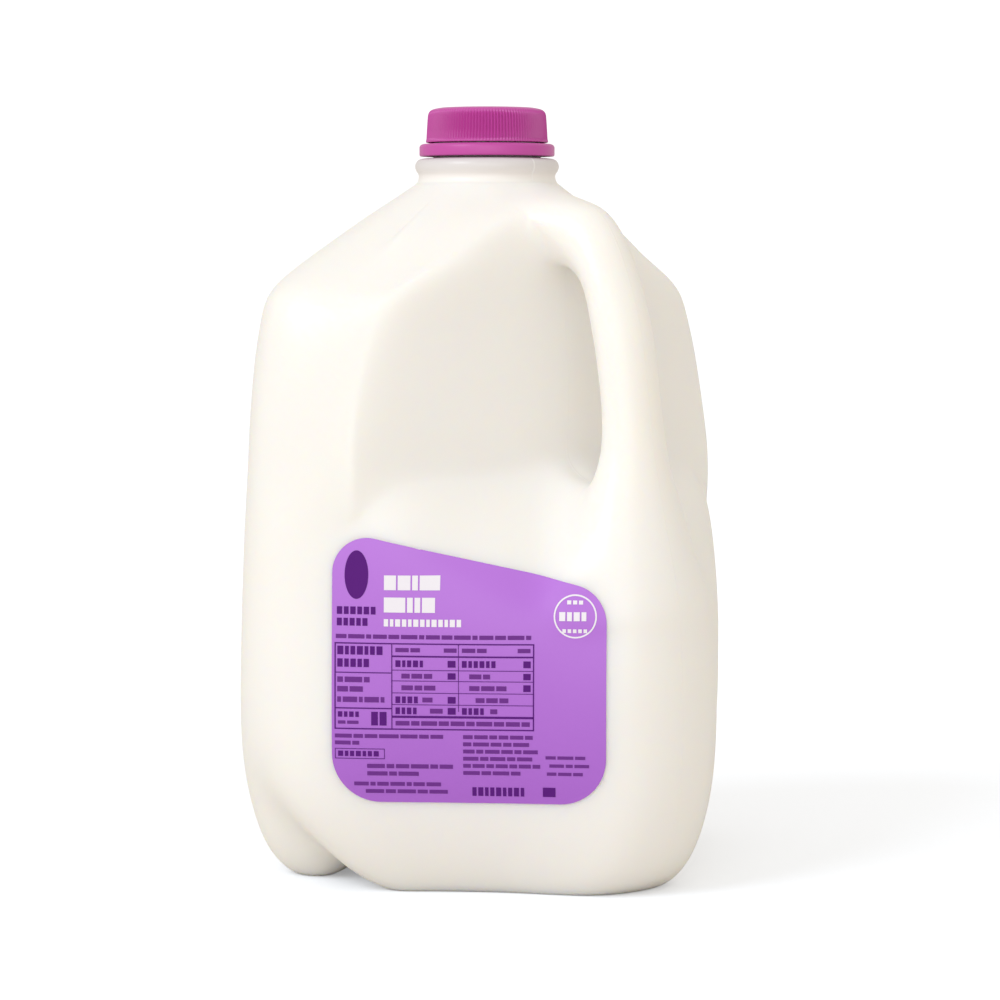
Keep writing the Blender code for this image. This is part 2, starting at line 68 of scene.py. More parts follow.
BASE_RINGS = (
    (BASE_RISE, 15.0 * MM, 13.0 * MM),
    (0.8 * BASE_RISE, 36.0 * MM, 24.0 * MM),
    (-0.6 * MM, 47.5 * MM, 27.0 * MM),
    (-0.6 * MM, 56.0 * MM, 29.0 * MM),
)
FAR_FACE_BULGE = 2.5 * MM
# The rounded square whose points give the columns' directions at the neck.
BODY_HALF = 76.0 * MM
BODY_CORNER = 35.0 * MM

# The lower edge is fuller at the handle corner and at the far foot: by column, then by row.
FULLER_COLUMNS = {0: 6.5, 1: 6.5, 2: 4.5, 3: 1.5, 10: 2.5, 11: 6.5, 12: 7.5, 13: 6.5, 14: 5.0}
FULLER_ROWS = (0.0, 0.2, 0.5, 0.85, 1.0, 0.6, 0.2)
# Between them the base lifts in a notch: rise and inward depth of columns 7 to 12, row by row.
NOTCH_FIRST_COLUMN = 7
NOTCH_RISES = (
    (0.0, 0.0, 0.5, 0.5, 0.0, 0.0),
    (0.0, 1.0, 3.0, 0.5, 0.0, 0.0),
    (0.0, 4.0, 9.0, 1.5, 0.0, 0.0),
    (0.0, 5.0, 11.0, 2.5, 0.0, 0.0),
    (0.0, 4.5, 10.0, 5.0, 0.0, 0.0),
    (0.0, 1.5, 4.5, 4.0, 0.0, 0.0),
    (0.0, 0.0, 1.0, 1.0, 0.0, 0.0),
)
NOTCH_DEPTHS = (
    (0.0, 0.0, 0.0, 0.0, 0.0, 0.0),
    (0.0, 0.0, 0.5, 0.5, 0.0, 0.0),
    (0.0, 0.5, 1.5, 1.5, 0.0, 0.0),
    (0.0, 0.5, 2.0, 3.0, 0.0, 0.0),
    (0.0, 0.5, 2.5, 4.5, 0.5, 0.0),
    (0.0, 0.3, 2.0, 4.0, 0.5, 0.0),
    (0.0, 0.0, 0.8, 1.2, 0.0, 0.0),
)

# Columns of the half skin, counted from the handle corner round to the far corner.
HANDLE_COLUMNS = 4
RIDGE_COLUMN = 7
SIDE_CORNER_COLUMN = 9
FAR_FACE_COLUMN = 12
LAST_COLUMN = 14
LABEL_FACE_STEPS = (1.0, 0.58, 0.17, -0.24, -0.58, -0.92)
FAR_FACE_STEPS = (0.92, 0.0, -0.92)
CORNER_STEP = 22.5
NEAR_CORNER_STEP = 25.0
FIRST_HANDLE_ROW = 6
LAST_HANDLE_ROW = 10

# Finger pocket beside the handle: a nearly flat floor, given at the seam and by column.
FLOOR_AT_SEAM = 41.0 * MM
FLOOR_LEAN = 0.03
FLOOR_BOTTOM = 137.0 * MM
FLOOR_COLUMNS = ((40.8 * MM, -9.0 * MM), (37.0 * MM, -36.0 * MM), (29.6 * MM, -65.5 * MM))
FLOOR_TOP_RAISE = (10.5 * MM, 10.0 * MM, 5.0 * MM, 1.0 * MM)
FLOOR_SLANT = 0.25
# The ledge under the pocket starts at these heights, and comes back this share of the way.
LEDGE_FOOT = tuple(height * MM for height in (97, 96, 95, 98, 103, 108, 114, 118))
LEDGE_STEP = 9.0 * MM
LEDGE_BACK = 0.72
# The face beside the ledge sinks a little, from this column on.
FACE_SINK = 1.3 * MM
FACE_SINK_COLUMN = 2
# The ridge between pocket and corner lies below the face, and moves towards the handle higher up.
RIDGE_ALONG_FACE = -37.0 * MM
RIDGE_DROP_LOW = 2.4 * MM
RIDGE_DROP_HIGH = 5.8 * MM
RIDGE_START = (0.3, 1.0, 1.2)
RIDGE_SHIFTS = (0.0, 0.0, 3.0 * MM, 7.0 * MM, 10.5 * MM)
RIDGE_CLOSER = 0.4
BESIDE_RIDGE = 0.7
SHOULDER_HEIGHT = 191.0 * MM
# The shoulder sinks a little beside the ridge.
SINK = 3.2 * MM
SINK_ROWS = (0.4, 1.0, 0.8, 0.3)
SINK_INWARD = 0.7
SINK_AT_CORNER = 0.6

# Handle tube, row by row: centre x and z, lean of the section in degrees, half depth, half width.
HANDLE_SECTIONS = (
    (71.5 * MM, 126.0 * MM, -12.0, 15.0 * MM, 17.0 * MM),
    (72.0 * MM, 144.0 * MM, -2.0, 8.9 * MM, 11.0 * MM),
    (68.3 * MM, 171.0 * MM, 8.0, 8.7 * MM, 10.6 * MM),
    (64.0 * MM, 187.0 * MM, 18.0, 8.7 * MM, 10.4 * MM),
    (57.5 * MM, 202.0 * MM, 42.0, 8.9 * MM, 10.4 * MM),
)
HANDLE_ANGLES = (0.0, 48.0, 92.0, 140.0, 180.0)
# Where the handle runs into the shoulder, in millimetres: rows of points for columns 0 to 4.
ROOT_POINTS = (
    ((54.5, 0, 218.6), (53.0, -7.0, 217.4), (48.5, -11.0, 213.0), (43.0, -13.0, 212.0), (37.0, -17.0, 215.5)),
    ((43.5, 0, 222.3), (42.0, -7.5, 221.3), (39.0, -12.5, 219.0), (35.0, -15.5, 218.6), (31.5, -19.0, 218.6)),
    ((32.5, 0, 225.4), (31.0, -7.0, 224.8), (29.0, -12.0, 223.4), (27.0, -15.5, 222.8), (24.5, -18.5, 222.8)),
)
# The pocket's upper edge and the shoulder above it: points for columns 5 to 7.
SHOULDER_EDGE_POINTS = (
    ((32.2, -33.6, 208.8), (26.9, -48.8, 201.5), (21.9, -60.1, 195.7)),
    ((27.5, -29.5, 215.5), (21.0, -41.8, 211.4), (13.5, -51.2, 209.6)),
    ((21.5, -23.5, 221.0), (15.5, -29.5, 221.0), (9.0, -34.0, 220.0)),
)

# Crisper edges of the skin: first and last row from the base's middle, first and last column, how crisp.
POCKET_FOOT_ROW = 9
POCKET_TOP_ROW = 15
CREASES = (
    (POCKET_FOOT_ROW, POCKET_TOP_ROW, RIDGE_COLUMN, RIDGE_COLUMN, 0.5),
    (POCKET_TOP_ROW, POCKET_TOP_ROW, HANDLE_COLUMNS, RIDGE_COLUMN, 0.3),
    (POCKET_FOOT_ROW, POCKET_FOOT_ROW, HANDLE_COLUMNS, RIDGE_COLUMN, 0.3),
)

# Neck above the shoulder, then down its inside to behind the band: radius and height in millimetres.
NECK_ROOT = (23.4 * MM, 228.0 * MM)
NECK_OUTSIDE = (
    (22.9, 229.0), (22.7, 230.2), (22.9, 231.0), (23.5, 231.8), (23.9, 232.8),
    (23.95, 233.7), (23.7, 234.6), (23.1, 235.4), (22.2, 235.9), (20.6, 236.1),
    (18.2, 236.25), (17.7, 236.5), (17.6, 237.2), (17.6, 249.4), (17.3, 250.0),
)
NECK_INSIDE = ((16.6, 250.0), (16.4, 249.4), (16.4, 240.0))
MILK_LEVEL = 227.0 * MM
MILK_IN_WALL = 0.35 * MM
SKIN_LEVEL = 3
FILLING_LEVEL = 2
# Turns in degrees above which an edge stays sharp: of bottle and band, of the milk, of the cap.
SOFT_TURN = 60.0
MILK_TURN = 40.0
CAP_TURN = 55.0

# Cap, from the roof's underside down the bore and up the ribbed skirt to the crown.
# Each turn has a radius and a height in millimetres, and a share of the ribs' depth.
CAP_TOP = 252.8 * MM
CAP_ROOF = 2.2 * MM
CAP_ROOF_RADIUS = 17.0 * MM
CAP_PROFILE = (
    (18.0, 250.0, 0.0), (18.2, 249.2, 0.0), (18.2, 241.5, 0.0), (18.5, 241.3, 0.0), (19.9, 241.3, 0.0),
    (20.3, 241.45, 0.15), (20.35, 241.9, 0.2), (20.2, 242.3, 0.6), (20.15, 242.7, 1.0), (20.0, 245.5, 1.0),
    (19.8, 248.6, 1.0), (19.65, 250.3, 1.0), (19.5, 250.9, 0.85), (19.25, 251.4, 0.55), (18.85, 251.85, 0.2),
    (18.3, 252.2, 0.0), (17.6, 252.45, 0.0), (16.8, 252.6, 0.0), (16.2, 252.72, 0.0), (15.7, 252.8, 0.0),
    (15.2, 252.72, 0.0), (14.9, 252.6, 0.0), (8.0, 252.6, 0.0),
)
RIB_COUNT = 120
POINTS_A_RIB = 6
RIB_DEPTH = 0.7 * MM
# Below 1, so that the grooves are wider than the ribs' crowns.
RIB_CROWN = 0.7

# Tamper band, from the foot of its bore up and round: radius and height in millimetres.
BAND_BORE = 18.2 * MM
BAND_FOOT = 237.0 * MM
BAND_PROFILE = (
    (18.2, 240.7), (18.5, 240.9), (20.3, 240.9), (21.4, 240.85), (22.0, 240.6), (22.35, 240.2),
    (22.5, 239.8), (22.5, 237.4), (22.42, 237.0), (22.15, 236.8), (18.5, 236.8), (18.2, 237.0),
)
BAND_STEPS = 96
WELD = 0.01 * MM

# Label on the face between the handle corner and the -Y corner.
# Its corners before rounding: distance along the face, height, and rounding radius.
LABEL_CORNERS = (
    (-43.2 * MM, 31.9 * MM, 15.5 * MM),
    (43.4 * MM, 31.9 * MM, 14.5 * MM),
    (43.4 * MM, 98.6 * MM, 12.0 * MM),
    (-43.2 * MM, 118.3 * MM, 11.0 * MM),
)
LABEL_ARC_STEPS = 14
LABEL_SQUARE = 2.5 * MM
SHORT_EDGE = 0.25 * MM
LABEL_LIFT = 0.03 * MM
LABEL_THICKNESS = 0.3 * MM
PRINT_LIFT = LABEL_LIFT + LABEL_THICKNESS + 0.04 * MM
PRINT_THICKNESS = 0.05 * MM
OUTSIDE_SKIN = 0.2

# Print of plain shapes, in millimetres along the label's face and above the floor.
# Lines: left, right, low, high.
TABLE_LINES = (
    (-42.3, 20.8, 82.3, 82.7), (-42.3, 20.8, 55.3, 55.7), (-42.3, -41.9, 55.3, 82.7),
    (20.4, 20.8, 55.3, 82.7), (-24.2, -23.9, 55.5, 82.5), (-3.1, -2.9, 61.2, 82.5),
    (-23.9, 20.6, 78.3, 78.8), (-23.9, 20.6, 59.1, 59.8), (-23.9, 20.6, 74.1, 74.3),
    (-23.9, 20.6, 70.7, 70.9), (-23.9, 20.6, 66.9, 67.1), (-23.9, 20.6, 63.2, 63.4),
    (-41.9, -24.2, 73.1, 73.4), (-41.9, -24.2, 61.8, 62.2), (-42.2, -26.4, 49.0, 49.2),
    (-42.2, -26.4, 45.9, 46.1), (-42.2, -42.0, 45.9, 49.2), (-26.6, -26.4, 45.9, 49.2),
)
# Rows of small blocks: left, right, low, high, block widths that repeat along the row.
BOLD_ROWS = (
    (-41.4, -25.4, 78.9, 81.6, (1.9, 1.2, 1.5)), (-41.4, -30.6, 75.0, 77.6, (1.7, 1.4)),
    (-41.2, -33.0, 59.2, 60.9, (1.4, 1.1)), (-30.6, -25.6, 56.6, 60.9, (2.1, 2.2)),
    (-22.9, -12.4, 75.2, 77.3, (1.6, 1.0, 1.3)), (-6.4, -3.6, 75.2, 77.3, (2.5,)),
    (-1.9, 9.6, 75.2, 77.3, (1.5, 1.1, 1.3)), (17.4, 20.0, 75.2, 77.3, (2.3,)),
    (-22.9, -15.8, 63.8, 65.9, (1.5, 1.2)), (-6.4, -3.6, 63.8, 65.9, (2.5,)),
    (-22.9, -15.0, 60.3, 62.4, (1.4, 1.1)), (-6.4, -3.6, 60.3, 62.4, (2.5,)),
    (-1.9, 6.0, 60.3, 62.4, (1.5, 1.1)), (17.4, 20.0, 67.7, 69.8, (2.3,)),
    (17.4, 20.0, 71.4, 73.4, (2.3,)), (-6.4, -3.6, 71.4, 73.4, (2.5,)),
    (-41.2, -27.6, 46.7, 48.4, (1.6, 1.1, 1.3)), (-41.6, -29.0, 91.6, 94.0, (1.7, 1.5)),
    (-41.6, -30.4, 88.0, 90.4, (1.6, 1.4)), (1.2, 19.0, 34.3, 37.1, (1.3, 1.6, 1.1)),
    (23.5, 27.6, 34.3, 37.3, (4.0,)),
)
SMALL_ROWS = (
    (-41.9, 20.2, 84.0, 85.3, (3.4, 5.2, 1.6, 4.4)), (-22.9, -13.0, 79.9, 81.2, (4.2, 3.0)),
    (-7.6, -3.6, 79.9, 81.2, (4.0,)), (-1.9, 8.0, 79.9, 81.2, (4.2, 3.0)),
    (15.6, 20.0, 79.9, 81.2, (4.0,)), (-21.0, -11.2, 71.6, 73.1, (2.6, 3.4)),
    (-21.0, -9.6, 67.9, 69.4, (3.6, 2.4)), (0.4, 8.6, 71.6, 73.1, (3.8, 2.2)),
    (0.4, 14.6, 67.9, 69.4, (3.2, 4.2)), (2.4, 15.0, 64.1, 65.6, (2.8, 3.6)),
    (-14.4, -9.4, 64.1, 65.6, (3.2,)), (7.0, 9.6, 60.6, 62.1, (2.2,)),
    (-12.0, -7.0, 60.6, 62.1, (4.0,)), (-22.9, 19.6, 56.7, 58.1, (4.4, 2.6, 5.0, 3.2)),
    (-41.4, -27.0, 70.2, 71.9, (1.8, 5.6)), (-41.4, -31.0, 67.2, 68.9, (3.4, 4.2)),
    (-41.4, -25.4, 63.9, 65.6, (1.2, 4.6)), (-41.2, -33.8, 57.0, 58.0, (2.4, 3.6)),
    (-42.2, -4.6, 52.6, 53.8, (5.4, 3.0, 4.0, 6.2)), (-42.2, -34.0, 50.4, 51.6, (5.0, 2.2)),
    (-32.0, -3.6, 43.0, 44.3, (5.6, 2.4, 4.2)), (-32.0, -14.4, 40.6, 41.9, (6.4, 2.4)),
    (-36.2, -8.2, 37.3, 38.5, (4.6, 1.6, 3.6)), (-32.6, -3.4, 34.9, 36.1, (5.8, 3.2)),
    (-1.6, 23.2, 52.6, 53.8, (3.0, 4.2, 2.4)), (-1.6, 20.0, 50.3, 51.5, (2.6, 5.0, 3.4)),
    (-1.6, 22.4, 48.0, 49.2, (3.6, 2.2, 4.6)), (-1.6, 21.4, 45.7, 46.9, (4.8, 2.6)),
    (-1.6, 22.8, 43.4, 44.6, (2.4, 3.8)), (-1.6, 19.4, 41.1, 42.3, (5.2, 3.0)),
    (24.4, 40.6, 46.4, 47.4, (3.2, 5.0)), (25.6, 39.6, 43.8, 44.8, (4.6, 2.2)),
    (24.8, 40.4, 41.2, 42.2, (3.0, 4.2)),
)
WHITE_ROWS = (
    (-26.6, -8.7, 99.3, 103.9, (3.8, 4.0, 1.8, 6.4)), (-26.6, -10.3, 92.3, 97.0, (6.8, 1.8, 1.8, 4.1)),
    (-26.6, -1.2, 87.9, 90.2, (1.4, 1.1, 1.6)), (28.6, 38.6, 90.0, 92.7, (1.9, 1.5)),
    (31.0, 36.2, 95.0, 96.2, (1.3,)), (29.6, 37.6, 86.3, 87.5, (1.1,)),
)
BLOCK_GAP = 0.55
ROW_SLACK = 0.01
SEAL_CENTRE = (33.6, 91.3)
SEAL_RADIUS = 6.75
SEAL_LINE = 0.5
OVAL_CENTRE = (-35.4, 104.0)
OVAL_HALF = (3.8, 7.6)
ROUND_STEPS = 48

# Colours and finish. Roughness spans and colour pairs drift with soft clouds.
CLOUD_SCALE = 22.0
GRAIN_SCALE = 1400.0
GRAIN_DETAIL = 2.0
GRAIN_RISE = 0.03 * MM
GRAIN_BESIDE_SEAM = 0.2
SEAM_CORE = 0.15 * MM
SEAM_EDGE = 0.45 * MM
SEAM_RISE = 0.05 * MM
DRIFT = 0.04
BOTTLE_COLOURS = ((0.905, 0.885, 0.85), (0.895, 0.88, 0.86))
BOTTLE_ROUGHNESS = (0.285, 0.36)
LIGHT_THROUGH = 0.7
LIGHT_REACH = 10.0 * MM
LIGHT_REACH_BY_COLOUR = (1.0, 0.82, 0.55)
NECK_ROUGHNESS = (0.285, 0.34)
# Painted shade up the neck: the empty hollow behind the thin wall, and a faint painted pink reflection of the
# cap near its top.
NECK_PAINTED_SHADE_SPAN = (228.0 * MM, 236.5 * MM)
NECK_PAINTED_SHADE_STOPS = (
    (0.0, (0.93, 0.915, 0.88)),
    (0.25, (0.90, 0.855, 0.83)),
    (0.48, (0.80, 0.765, 0.76)),
    (0.72, (0.73, 0.695, 0.70)),
    (1.0, (0.66, 0.62, 0.64)),
)
NECK_SEAM_COLOUR = (0.95, 0.94, 0.93)
NECK_SEAM_SHARE = 0.5
MILK_COLOUR = (0.93, 0.91, 0.86)
MILK_ROUGHNESS = (0.25, 0.35)
MAGENTA = (0.53, 0.065, 0.36)
MAGENTA_ROUGHNESS = (0.31, 0.41)
# The film's colour grows paler up this span of heights: painted light and sheen on its upper part.
FILM_PAINTED_LIGHT_SPAN = (35.0 * MM, 112.0 * MM)
FILM_LOW = (0.38, 0.115, 0.60)
FILM_PAINTED_LIGHT_TOP = (0.48, 0.175, 0.73)
FILM_ROUGHNESS = (0.36, 0.48)
FILM_CLOUDS = 0.1
FILM_COAT = 0.12
FILM_COAT_ROUGHNESS = 0.25
INKS = (
    ("bold_ink", (0.10, 0.010, 0.20)),
    ("small_ink", (0.155, 0.032, 0.26)),
    ("white_ink", (0.86, 0.83, 0.90)),
)
INK_ROUGHNESS = (0.45, 0.55)
INK_SHINE = 0.12

# Stage: white paper floor, even studio light, and two soft lamps.
FLOOR_REACH = 6.0
FLOOR_COLOUR = (0.84, 0.88, 0.95)
FLOOR_BOUNCE = (0.80, 0.77, 0.72)
FLOOR_LIFT = 0.28
FLOOR_ROUGHNESS = 0.9
WHITE = (1.0, 1.0, 1.0)
WORLD_STRENGTH = 0.77
WORLD_COLOUR = (1.0, 0.95, 0.87)
BACKDROP_STRENGTH = 1.1
# Each lamp: name, azimuth, elevation and spread in degrees, strength, colour.
SUNS = (
    ("key_softbox", 0.0, 36.0, 28.0, 1.05, (0.84, 0.91, 1.0)),
    ("front_fill", 50.0, 8.0, 50.0, 0.66, (0.91, 0.95, 1.0)),
)
CAMERA_AZIMUTH = math.radians(49.4)
CAMERA_DISTANCE = 1.15
CAMERA_HEIGHT = 0.209
CAMERA_PITCH = math.radians(4.32)
CAMERA_LENS = 123.8
CAMERA_SENSOR = 36.0
CAMERA_SHIFT_X = 0.013


# Shape of the skin.


def section_point(half, corner, column):
    """Point of the rounded square in one column, on the side of the seam with y below zero."""
    straight = half - corner
    if column <= 1:
        turn = math.radians(-NEAR_CORNER_STEP * column)
        return Vector((straight / DIAGONAL + corner * math.cos(turn), corner * math.sin(turn), 0.0))
    if column <= RIDGE_COLUMN:
        return FACE_NORMAL * half + FACE_ALONG * (straight * LABEL_FACE_STEPS[column - 2])
    if column <= SIDE_CORNER_COLUMN + 1:
        turn = math.radians(-90.0 - CORNER_STEP * (column - SIDE_CORNER_COLUMN))
        return Vector((corner * math.cos(turn), corner * math.sin(turn) - straight / DIAGONAL, 0.0))
    if column < LAST_COLUMN:
        along = straight * FAR_FACE_STEPS[column - SIDE_CORNER_COLUMN - 2]
        return -FACE_ALONG * half + FACE_NORMAL * along
    return Vector((-straight / DIAGONAL - corner, 0.0, 0.0))


def plain_row(height, half, corner):
    """One station's points, column by column."""
    row = [section_point(half, corner, column) for column in range(LAST_COLUMN + 1)]
    for point in row:
        point.z = height
    return row


def shape_foot(rows):
    """Fill out the lower edge and lift the notch, on the rows from the base's middle up."""
    for row, share, rises, depths in zip(rows, FULLER_ROWS, NOTCH_RISES, NOTCH_DEPTHS):
        outward = [Vector((point.x, point.y, 0.0)).normalized() for point in row]
        for column, fuller in FULLER_COLUMNS.items():
            row[column] += outward[column] * (fuller * share * MM)
        for column, (rise, depth) in enumerate(zip(rises, depths), NOTCH_FIRST_COLUMN):
            row[column] -= outward[column] * (depth * MM)
            row[column].z += rise * MM


def floor_point(x, y, height):
    """A point on the pocket's floor, which leans inward as it rises."""
    return Vector((x - FLOOR_LEAN * (height - FLOOR_BOTTOM), y, height))


def ridge_drop(height):
    """The ridge beside the pocket sinks further below the face towards the shoulder."""
    share = (height - FLOOR_BOTTOM) / (SHOULDER_HEIGHT - FLOOR_BOTTOM)
    return RIDGE_DROP_LOW + (RIDGE_DROP_HIGH - RIDGE_DROP_LOW) * share


def handle_ring(section):
    """Section of the handle tube: the columns' points, then the point on the seam inside."""
    centre_x, centre_z, lean, depth, width = section
    out = Vector((math.cos(math.radians(lean)), 0.0, math.sin(math.radians(lean))))
    centre = Vector((centre_x, 0.0, centre_z))
    turns = [math.radians(angle) for angle in HANDLE_ANGLES]
    return [
        centre + out * depth * math.cos(turn) - Vector((0.0, width * math.sin(turn), 0.0))
        for turn in turns
    ]


def shape_pocket(rows):
    """Set the rows beside the handle, and give the seam points on the two sides of the hole."""
    hole_outer = []
    hole_inner = []
    for row, section, shift in zip(rows, HANDLE_SECTIONS, RIDGE_SHIFTS):
        ring = handle_ring(section)
        row[:HANDLE_COLUMNS] = ring[:HANDLE_COLUMNS]
        hole_outer.append(ring[-1])
        height = row[-1].z
        for column, place in enumerate(FLOOR_COLUMNS, HANDLE_COLUMNS):
            row[column] = floor_point(*place, height)
        row[RIDGE_COLUMN - 1] += Vector((FLOOR_SLANT * shift, shift, 0.0))
        half = FACE_NORMAL.dot(row[RIDGE_COLUMN]) - ridge_drop(height)
        along = RIDGE_ALONG_FACE + shift
        row[RIDGE_COLUMN] = FACE_NORMAL * half + FACE_ALONG * along + Vector((0.0, 0.0, height))
        row[RIDGE_COLUMN + 1] -= FACE_NORMAL * (BESIDE_RIDGE * ridge_drop(height))
        row[RIDGE_COLUMN + 1] = row[RIDGE_COLUMN + 1].lerp(row[RIDGE_COLUMN], RIDGE_CLOSER)
        hole_inner.append(floor_point(FLOOR_AT_SEAM, 0.0, height))
    for column, raised in enumerate(FLOOR_TOP_RAISE, HANDLE_COLUMNS):
        rows[-1][column].z += raised
    hole_inner[-1].z += FLOOR_TOP_RAISE[0]
    return hole_outer, hole_inner


def shape_ledge(rows):
    """Set the two rows of the ledge under the pocket; the third given row is the pocket's first."""
    face, ledge, floor = rows
    for column, height in enumerate(LEDGE_FOOT):
        face[column].z = height if HANDLE_COLUMNS <= column < RIDGE_COLUMN else height - LEDGE_STEP
        ledge[column].z = height
    for column in range(FACE_SINK_COLUMN, RIDGE_COLUMN):
        face[column] -= FACE_NORMAL * FACE_SINK
        ledge[column] -= FACE_NORMAL * FACE_SINK
    for column in range(HANDLE_COLUMNS, RIDGE_COLUMN):
        ledge[column] = face[column].lerp(floor[column], LEDGE_BACK)


def shape_shoulder(rows):
    """Set the handle's root and the pocket's upper edge, and let the shoulder sink beside it."""
    for row, root, edge in zip(rows[1:], ROOT_POINTS, SHOULDER_EDGE_POINTS):
        for column, point in enumerate(root + edge):
            row[column] = Vector(point) * MM
    for row, share in zip(rows, SINK_ROWS):
        row[RIDGE_COLUMN + 1] -= Vector((0.0, 0.0, SINK)) * share + FACE_NORMAL * (SINK * share * SINK_INWARD)
        row[RIDGE_COLUMN + 2].z -= SINK * share * SINK_AT_CORNER


def neck_root_row():
    """The columns' points on the circle where the neck starts."""
    radius, height = NECK_ROOT
    row = []
    for column in range(LAST_COLUMN + 1):
        place = section_point(BODY_HALF, BODY_CORNER, column).normalized() * radius
        row.append(Vector((place.x, place.y, height)))
    return row


def skin_rows():
    """Rows of the half skin from the base's middle to the neck, and the seam points round the hole."""
    base = [plain_row(*ring) for ring in BASE_RINGS]
    rows = [plain_row(*station) for station in (*BODY_STATIONS, *SHOULDER_STATIONS)]
    shape_foot(base + rows)
    hole_outer, hole_inner = shape_pocket(rows[FIRST_HANDLE_ROW:LAST_HANDLE_ROW + 1])
    shape_ledge(rows[FIRST_HANDLE_ROW - 2:FIRST_HANDLE_ROW + 1])
    for row, share in zip(rows[FIRST_HANDLE_ROW - len(RIDGE_START):FIRST_HANDLE_ROW], RIDGE_START):
        row[RIDGE_COLUMN] -= FACE_NORMAL * (RIDGE_DROP_LOW * share)
        row[RIDGE_COLUMN + 1] -= FACE_NORMAL * (RIDGE_DROP_LOW * share * BESIDE_RIDGE)
    shape_shoulder(rows[LAST_HANDLE_ROW:])
    for row in rows:
        share = math.sin(math.pi * min(row[-1].z / SHOULDER_HEIGHT, 1.0))
        row[FAR_FACE_COLUMN] -= FACE_ALONG * (FAR_FACE_BULGE * share)
    return [*base, *rows, neck_root_row()], hole_outer, hole_inner


def edges_of(made):
    return [item for item in made if isinstance(item, bmesh.types.BMEdge)]


def verts_of(edges):
    return {vert for edge in edges for vert in edge.verts}


def grow_rim(shell, rim):
    """Extrude an open rim and give the new rim."""
    grown = bmesh.ops.extrude_edge_only(shell, edges=rim)["geom"]
    return [edge for edge in edges_of(grown) if edge.is_boundary]


def draw_up_rows(shell, rows, column_of, row_of, side_of):
    """Draw a ring of columns up through the rows, and close the base at its middle."""
    bmesh.ops.create_circle(shell, segments=2 * LAST_COLUMN, radius=1.0)
    rim = shell.edges[:]
    for vert in shell.verts:
        steps = round(math.atan2(vert.co.y, vert.co.x) * LAST_COLUMN / math.pi)
        vert[column_of] = abs(steps)
        vert[side_of] = -1 if steps > 0 else 1
    for index, row in enumerate(rows):
        if index > 0:
            rim = grow_rim(shell, rim)
        for vert in verts_of(rim):
            point = row[vert[column_of]]
            vert[row_of] = index
            vert.co = Vector((point.x, point.y * vert[side_of], point.z))
    low_rim = [
        edge for edge in shell.edges
        if edge.is_boundary and all(vert[row_of] == 0 for vert in edge.verts)
    ]
    base = bmesh.ops.contextual_create(shell, geom=low_rim)["faces"]
    middle = bmesh.ops.poke(shell, faces=base)["verts"][0]
    middle.co = Vector((0.0, 0.0, BASE_RISE))
    middle[row_of] = -1


def bridge_hole(shell, hole_outer, hole_inner, column_of, row_of, side_of):
    """Open the handle's hole on both sides, bridge it, and set the seam points in the bridge."""
    columns = {HANDLE_COLUMNS - 1, HANDLE_COLUMNS}
    first = len(BASE_RINGS) + FIRST_HANDLE_ROW
    span = range(first, len(BASE_RINGS) + LAST_HANDLE_ROW + 1)
    open_faces = [
        face for face in shell.faces
        if all(vert[column_of] in columns and vert[row_of] in span for vert in face.verts)
    ]
    bmesh.ops.delete(shell, geom=open_faces, context="FACES")
    rims = [
        edge for edge in shell.edges
        if edge.is_boundary and all(vert[row_of] in span for vert in edge.verts)
    ]
    bmesh.ops.bridge_loops(shell, edges=rims)
    across = [edge for edge in shell.edges if edge.verts[0][side_of] * edge.verts[1][side_of] < 0]
    across = [edge for edge in across if all(vert[column_of] in columns for vert in edge.verts)]
    places = {edge: (edge.verts[0][row_of], edge.verts[0][column_of]) for edge in across}
    before = set(shell.verts)
    for edge, (row, column) in places.items():
        made = bmesh.ops.bisect_edges(shell, edges=[edge], cuts=1)["geom_split"]
        new = [item for item in made if isinstance(item, bmesh.types.BMVert) and item not in before][0]
        new.co = (hole_outer if column == HANDLE_COLUMNS - 1 else hole_inner)[row - first]
        new[row_of] = row
        new[column_of] = -1
        before.add(new)
    bmesh.ops.connect_verts(shell, verts=[vert for vert in shell.verts if vert[column_of] == -1])


def mark_creases(shell, column_of, row_of):
    """Make the edges between the rows and columns of CREASES crisper."""
    crease_of = shell.edges.layers.float.new("crease_edge")
    for edge in shell.edges:
        low_row, high_row = sorted(vert[row_of] for vert in edge.verts)
        low_column, high_column = sorted(vert[column_of] for vert in edge.verts)
        for first_row, last_row, first_column, last_column, sharpness in CREASES:
            in_rows = first_row <= low_row and high_row <= last_row
            in_columns = first_column <= low_column and high_column <= last_column
            if in_rows and in_columns:
                edge[crease_of] = sharpness


def skin_cage():
    """The skin as a cage of quads, whole, with the handle's hole through it."""
    rows, hole_outer, hole_inner = skin_rows()
    shell = bmesh.new()
    column_of, row_of, side_of = [shell.verts.layers.int.new(name) for name in ("column", "row", "side")]
    draw_up_rows(shell, rows, column_of, row_of, side_of)
    bridge_hole(shell, hole_outer, hole_inner, column_of, row_of, side_of)
    mark_creases(shell, column_of, row_of)
    bmesh.ops.recalc_face_normals(shell, faces=shell.faces[:])
    return shell


def limit_point(vert):
    """Where a Catmull-Clark surface puts a cage point."""
    if vert.is_boundary:
        ends = [edge.other_vert(vert).co for edge in vert.link_edges if edge.is_boundary]
        return (ends[0] + ends[1] + vert.co * 4.0) / 6.0
    count = len(vert.link_edges)
    beside = {edge.other_vert(vert) for edge in vert.link_edges}
    across = {corner for face in vert.link_faces for corner in face.verts} - beside - {vert}
    near = sum((other.co for other in beside), Vector())
    far = sum((other.co for other in across), Vector())
    return (vert.co * count * count + near * 4.0 + far) / (count * (count + 5.0))


def pass_through_stations(shell):
    """Move the cage so that the smooth surface runs close to the points it was built on."""
    fitted = [vert for vert in shell.verts if all(len(face.verts) == 4 for face in vert.link_faces)]
    errors = [(vert, vert.co - limit_point(vert)) for vert in fitted]
    for vert, error in errors:
        vert.co += error


